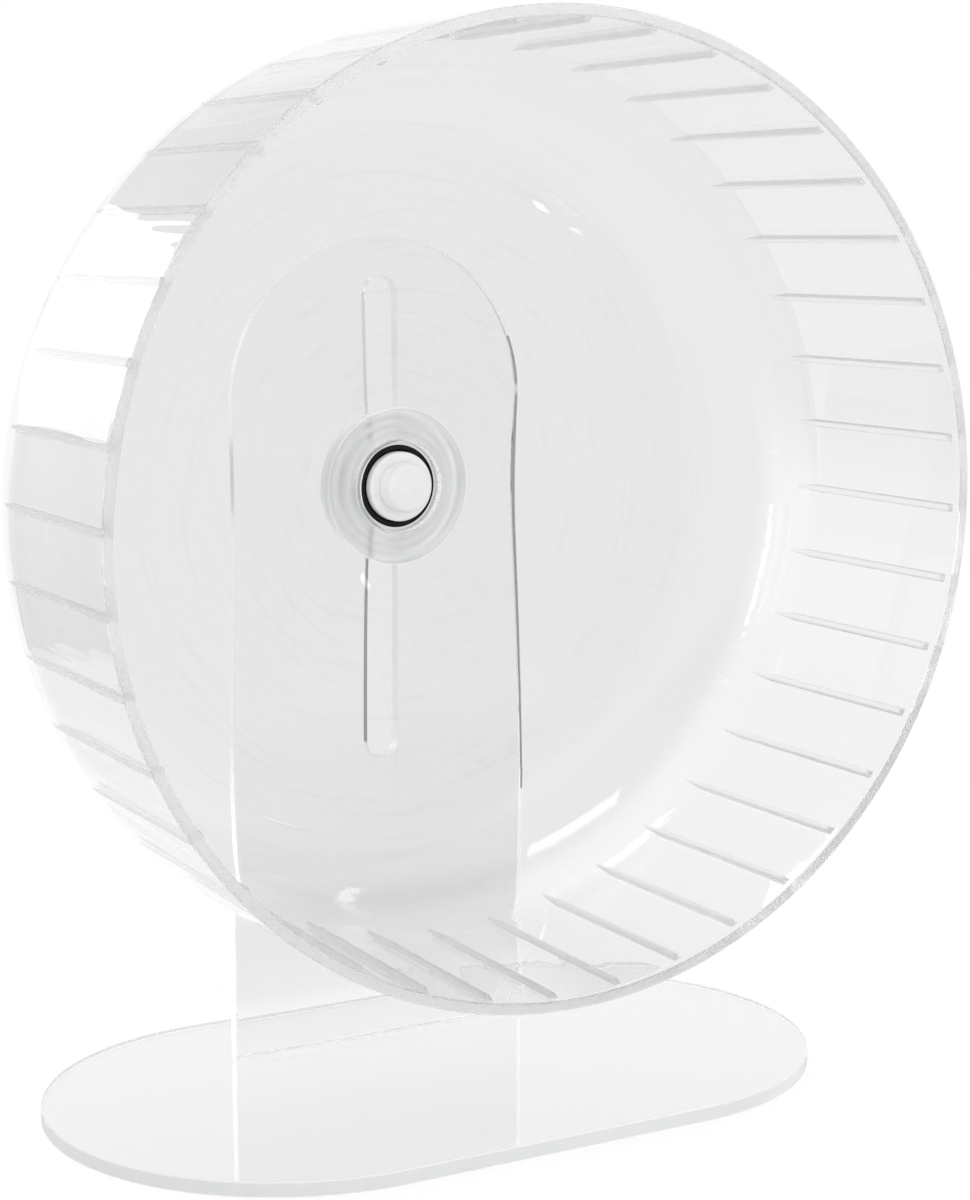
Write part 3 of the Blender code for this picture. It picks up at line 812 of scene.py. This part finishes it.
# Axle cap: a white moulded cap in two steps, with a soft rounded shoulder,
# pushed over the head of the axle so that nothing sharp faces the animal.
cap_r = 0.0081
cap_step_r = 0.0057
cap_front, cap_step_y, cap_back = 0.0115, 0.0157, 0.0182
cap_crown = 0.0003
crown_at, crown_left = 0.6, 0.65
cap_hollow_r, cap_hollow_y = 0.0053, 0.0165
cap_line_w, cap_line_d = 0.00035, 0.00025
cap_skirt_t, cap_skirt_root = 0.0012, 0.0015
cap_front_round, cap_shoulder, cap_skirt_round = 0.0012, 0.0006, 0.0002
cap_colour = (0.98, 0.98, 0.975)
cap_plastic = opaque_finish("cap_plastic", moulded_skin, cap_colour, 0.30, depth=0.00001,
                            grain=900.0)
corners = [(0.0, cap_front - cap_crown), (crown_at * cap_step_r, cap_front - crown_left * cap_crown),
           (cap_step_r, cap_front), (cap_step_r, cap_step_y + cap_line_d),
           (cap_step_r + cap_line_w, cap_step_y), (cap_r, cap_step_y), (cap_r, cap_back),
           (cap_r - cap_skirt_t, cap_back), (cap_r - cap_skirt_root, head_back),
           (cap_hollow_r, head_back), (cap_hollow_r, cap_hollow_y), (0.0, cap_hollow_y)]
cap_shell = turned("cap_shell", corners,
                   [(corners[2], cap_front_round, 8), (corners[5], cap_shoulder, 6),
                    (corners[6], cap_skirt_round, 3)], 96, [cap_plastic])
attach(cap_shell, "axle")
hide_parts("axle_cap")

# Spacer, washer and nut: plated steel. The sleeve keeps the hub off the post,
# and the washer and hexagon nut clamp the axle in the slot from behind.
sleeve_front, sleeve_back, sleeve_r, sleeve_round = 0.0252, 0.0264, 0.0060, 0.0002
corners = [(bore_r, sleeve_front), (sleeve_r, sleeve_front), (sleeve_r, sleeve_back),
           (bore_r, sleeve_back)]
sleeve_ring = turned("sleeve_ring", corners,
                     [(corners[1], sleeve_round, 2), (corners[2], sleeve_round, 2)], 64, [zinc_steel])
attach(sleeve_ring, "axle")
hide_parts("spacer_sleeve")

washer_front, washer_back, washer_r, washer_round = 0.0300, 0.0316, 0.0090, 0.0003
corners = [(bore_r, washer_front), (washer_r, washer_front), (washer_r, washer_back),
           (bore_r, washer_back)]
washer_ring = turned("washer_ring", corners,
                     [(corners[1], washer_round, 3), (corners[2], washer_round, 3)], 72, [zinc_steel])
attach(washer_ring, "axle")
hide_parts("rear_washer")

nut_front, nut_back, nut_flats = 0.0319, 0.0384, 0.0130
nut_corner_r = nut_flats / math.sqrt(3)
nut_bevel, nut_lead = 0.0009, 0.0004
nut_smooth_deg = 24
bm = bmesh.new()
corners = [(bore_r + nut_lead, nut_front), (nut_corner_r - nut_bevel, nut_front),
           (nut_corner_r, nut_front + 0.5 * nut_bevel), (nut_corner_r, nut_back - 0.5 * nut_bevel),
           (nut_corner_r - nut_bevel, nut_back), (bore_r + nut_lead, nut_back),
           (bore_r, nut_back - nut_lead), (bore_r, nut_front + nut_lead)]
section_face(bm, corners)
bmesh.ops.delete(bm, geom=bm.faces[:], context="FACES_ONLY")
bmesh.ops.spin(bm, geom=bm.verts[:] + bm.edges[:], cent=axle_line, axis=along_axle,
               angle=2 * math.pi, steps=96, use_merge=True)
bmesh.ops.remove_doubles(bm, verts=bm.verts[:], dist=weld_dist)
for k in range(6):
    turn = math.radians(60 * k + 30)
    out = Vector((math.sin(turn), 0.0, math.cos(turn)))
    cut = bmesh.ops.bisect_plane(bm, geom=bm.verts[:] + bm.edges[:] + bm.faces[:], dist=cut_dist,
                                 plane_co=Vector(axle_line) + out * nut_flats / 2, plane_no=out,
                                 clear_outer=True)
    rim = [g for g in cut["geom_cut"] if isinstance(g, bmesh.types.BMEdge)]
    bmesh.ops.edgeloop_fill(bm, edges=rim)
nut_block = close_piece("nut_block", bm, [zinc_steel], nut_smooth_deg)
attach(nut_block, "nut")
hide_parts("lock_nut")

# Studio: a pale floor under a white sweep, with soft lamps round it. The
# surroundings are white near the horizon and darker overhead, as in a plain room.
floor_r = 3.0
floor_drop = 0.0003
floor_lift = 0.34
flat_smooth_deg = 30
floor_near, floor_far = 0.22, 0.55
floor_colour, floor_rough = (0.80, 0.80, 0.80), 0.9
bm = bmesh.new()
bmesh.ops.create_circle(bm, cap_ends=True, radius=floor_r, segments=96)
bmesh.ops.translate(bm, verts=bm.verts[:], vec=(0.0, 0.0, -floor_drop))
floor_paint = bpy.data.materials.new("floor_paint")
floor_paint.use_nodes = True
tree = floor_paint.node_tree
link = tree.links.new
ray = add_node(tree, "ShaderNodeLightPath")
seen = worked(tree, "MAXIMUM", ray.outputs["Is Camera Ray"], ray.outputs["Is Glossy Ray"])
shown = worked(tree, "MAXIMUM", seen, ray.outputs["Is Transmission Ray"])
lift = add_node(tree, "ShaderNodeEmission", Color=(1.0, 1.0, 1.0, 1.0))
link(worked(tree, "MULTIPLY", shown, floor_lift), lift.inputs["Strength"])
shader = tree.nodes["Principled BSDF"]
shader.inputs["Base Color"].default_value = (*floor_colour, 1.0)
shader.inputs["Roughness"].default_value = floor_rough
shader.inputs["Specular IOR Level"].default_value = 0.0
both = add_node(tree, "ShaderNodeAddShader")
link(shader.outputs["BSDF"], both.inputs[0])
link(lift.outputs["Emission"], both.inputs[1])
place = add_node(tree, "ShaderNodeTexCoord")
apart = add_node(tree, "ShaderNodeVectorMath", operation="LENGTH")
link(place.outputs["Object"], apart.inputs[0])
fade = ranged(tree, apart.outputs["Value"], from_low=floor_near, from_high=floor_far)
fade.node.interpolation_type = "SMOOTHSTEP"
sweep = add_node(tree, "ShaderNodeEmission", Color=(1.0, 1.0, 1.0, 1.0), Strength=1.0)
spread = add_node(tree, "ShaderNodeMixShader")
link(fade, spread.inputs["Fac"])
link(both.outputs["Shader"], spread.inputs[1])
link(sweep.outputs["Emission"], spread.inputs[2])
link(spread.outputs["Shader"], tree.nodes["Material Output"].inputs["Surface"])
floor = close_piece("floor", bm, [floor_paint], flat_smooth_deg)


def studio_card(name, spot, width, low, high, paint):
    """An upright card facing the object, out of the camera's sight."""
    bm = bmesh.new()
    bmesh.ops.create_grid(bm, x_segments=2, y_segments=2, size=0.5)
    bmesh.ops.scale(bm, verts=bm.verts[:], vec=(width, high - low, 1.0))
    bmesh.ops.rotate(bm, verts=bm.verts[:], matrix=Matrix.Rotation(math.radians(90), 3, "X"))
    turn = Matrix.Rotation(math.atan2(-spot[0], spot[1]), 3, "Z")
    bmesh.ops.rotate(bm, verts=bm.verts[:], matrix=turn)
    bmesh.ops.translate(bm, verts=bm.verts[:], vec=(*spot, (low + high) / 2))
    card = close_piece(name, bm, [paint], flat_smooth_deg)
    card.visible_camera = False
    card.visible_shadow = False
    card.visible_diffuse = False
    return card


def show_turned(tree, paint, least_through):
    """Show a card only to light that was mirrored on its way, and that also
    passed through more than so many surfaces."""
    link = tree.links.new
    ray = add_node(tree, "ShaderNodeLightPath")
    mirrored = worked(tree, "GREATER_THAN", ray.outputs["Glossy Depth"], 0.5)
    through = worked(tree, "GREATER_THAN", ray.outputs["Transmission Depth"], least_through)
    both = worked(tree, "MULTIPLY", mirrored, through)
    gone = add_node(tree, "ShaderNodeBsdfTransparent")
    pick = add_node(tree, "ShaderNodeMixShader")
    link(both, pick.inputs["Fac"])
    link(gone.outputs["BSDF"], pick.inputs[1])
    link(paint, pick.inputs[2])
    link(pick.outputs["Shader"], tree.nodes["Material Output"].inputs["Surface"])


# The low card shades the drum's left wall. The flags draw the post's right edge
# and its slot dark, and the pale one keeps the slot faint above the axle.
card_spot, card_width, card_high = (-0.203, 0.316), 0.10, 0.150
card_low_level, card_high_level = 0.72, 0.97
any_ray, after_drum = -0.5, 3.5
flag_y, flag_width = 0.20, 0.037
card_paint = bpy.data.materials.new("card_paint")
card_paint.use_nodes = True
tree = card_paint.node_tree
link = tree.links.new
place = add_node(tree, "ShaderNodeTexCoord")
parts = add_node(tree, "ShaderNodeSeparateXYZ")
link(place.outputs["Object"], parts.inputs["Vector"])
level = ranged(tree, parts.outputs["Z"], card_low_level, card_high_level, from_high=card_high)
pale = add_node(tree, "ShaderNodeEmission")
link(level, pale.inputs["Strength"])
show_turned(tree, pale.outputs["Emission"], any_ray)
studio_card("low_card", card_spot, card_width, 0.0, card_high, card_paint)

for name, across, low, high, level in (("edge_flag", -0.101, 0.012, 0.165, 0.40),
                                       ("slot_flag", -0.069, 0.012, 0.137, 0.40),
                                       ("pale_flag", -0.069, 0.137, 0.230, 0.92)):
    flag_felt = bpy.data.materials.new(name + "_felt")
    flag_felt.use_nodes = True
    tree = flag_felt.node_tree
    felt = tree.nodes["Principled BSDF"]
    felt.inputs["Base Color"].default_value = (level, level, level, 1.0)
    felt.inputs["Specular IOR Level"].default_value = 0.0
    show_turned(tree, felt.outputs["BSDF"], after_drum)
    flag = studio_card(name, (across, flag_y), flag_width, low, high, flag_felt)
    flag.visible_glossy = False

white_to, dim_from, overhead = 0.31, 0.42, 0.70
world = bpy.data.worlds.new("studio")
bpy.context.scene.world = world
world.use_nodes = True
tree = world.node_tree
link = tree.links.new
way = add_node(tree, "ShaderNodeTexCoord")
parts = add_node(tree, "ShaderNodeSeparateXYZ")
link(way.outputs["Generated"], parts.inputs["Vector"])
ramp = add_node(tree, "ShaderNodeValToRGB")
stops = ramp.color_ramp.elements
stops[0].position, stops[0].color = 0.0, (1.0, 1.0, 1.0, 1.0)
stops[1].position, stops[1].color = 1.0, (overhead, overhead, overhead, 1.0)
for spot, level in ((white_to, 1.0), (dim_from, overhead)):
    stop = stops.new(spot)
    stop.color = (level, level, level, 1.0)
link(parts.outputs["Z"], ramp.inputs["Fac"])
glow = tree.nodes["Background"]
link(ramp.outputs["Color"], glow.inputs["Color"])
white = add_node(tree, "ShaderNodeBackground", Color=(1.0, 1.0, 1.0, 1.0), Strength=1.0)
ray = add_node(tree, "ShaderNodeLightPath")
pick = add_node(tree, "ShaderNodeMixShader")
link(ray.outputs["Is Camera Ray"], pick.inputs["Fac"])
link(glow.outputs["Background"], pick.inputs[1])
link(white.outputs["Background"], pick.inputs[2])
link(pick.outputs["Shader"], tree.nodes["World Output"].inputs["Surface"])

middle, left_side = Vector((0.0, 0.0, 0.12)), Vector((-0.09, -0.02, 0.19))
for name, aim, turn, rise, far, size, watts in (
        ("left_strip", middle, -101, 15, 1.2, (0.10, 0.56), 0.60),
        ("left_slit", middle, -86, 15, 1.2, (0.04, 0.56), 0.22),
        ("front_box", middle, -175, 65, 1.2, (0.46, 0.22), 1.00),
        ("back_box", middle, 0, 43, 1.3, (0.34, 0.18), 0.55),
        ("right_box", middle, 98, 48, 1.2, (0.46, 0.07), 0.30),
        ("window_gap", middle, 147.5, 1.5, 1.2, (0.032, 0.008), 0.004),
        ("back_panel", left_side, -12.5, 11.5, 1.25, (0.42, 0.40), 0.62)):
    lamp = bpy.data.lights.new(name, "AREA")
    lamp.shape, lamp.size, lamp.size_y, lamp.energy = "RECTANGLE", *size, watts
    holder = bpy.data.objects.new(name, lamp)
    turn, rise = math.radians(turn), math.radians(rise)
    away = Vector((math.sin(turn) * math.cos(rise), math.cos(turn) * math.cos(rise), math.sin(rise)))
    holder.location = aim + away * far
    holder.rotation_euler = (-away).to_track_quat("-Z", "Y").to_euler()
    holder.visible_camera = False
    bpy.context.scene.collection.objects.link(holder)

# Camera: to the left of the open side and a little above the axle, looking
# slightly down, as the photograph was taken.
view_azimuth, view_elevation = math.radians(-30.256), math.radians(8.628)
view_point = Vector((-0.01768, -0.05283, 0.12189))
view_distance = 0.5455
lens_mm, sensor_mm = 78.95, 36.0
back = Vector((math.sin(view_azimuth) * math.cos(view_elevation),
               -math.cos(view_azimuth) * math.cos(view_elevation), math.sin(view_elevation)))
lens = bpy.data.cameras.new("photo_lens")
lens.lens, lens.sensor_width = lens_mm, sensor_mm
lens.clip_start, lens.clip_end = 0.01, 20.0
viewer = bpy.data.objects.new("photo_camera", lens)
viewer.location = view_point + back * view_distance
viewer.rotation_euler = (-back).to_track_quat("-Z", "Y").to_euler()
bpy.context.scene.collection.objects.link(viewer)
bpy.context.scene.camera = viewer
bpy.context.scene.view_settings.view_transform = "Standard"
paths = bpy.context.scene.cycles
deep = 128
paths.max_bounces, paths.transmission_bounces, paths.glossy_bounces = deep, deep, deep
paths.transparent_max_bounces = deep
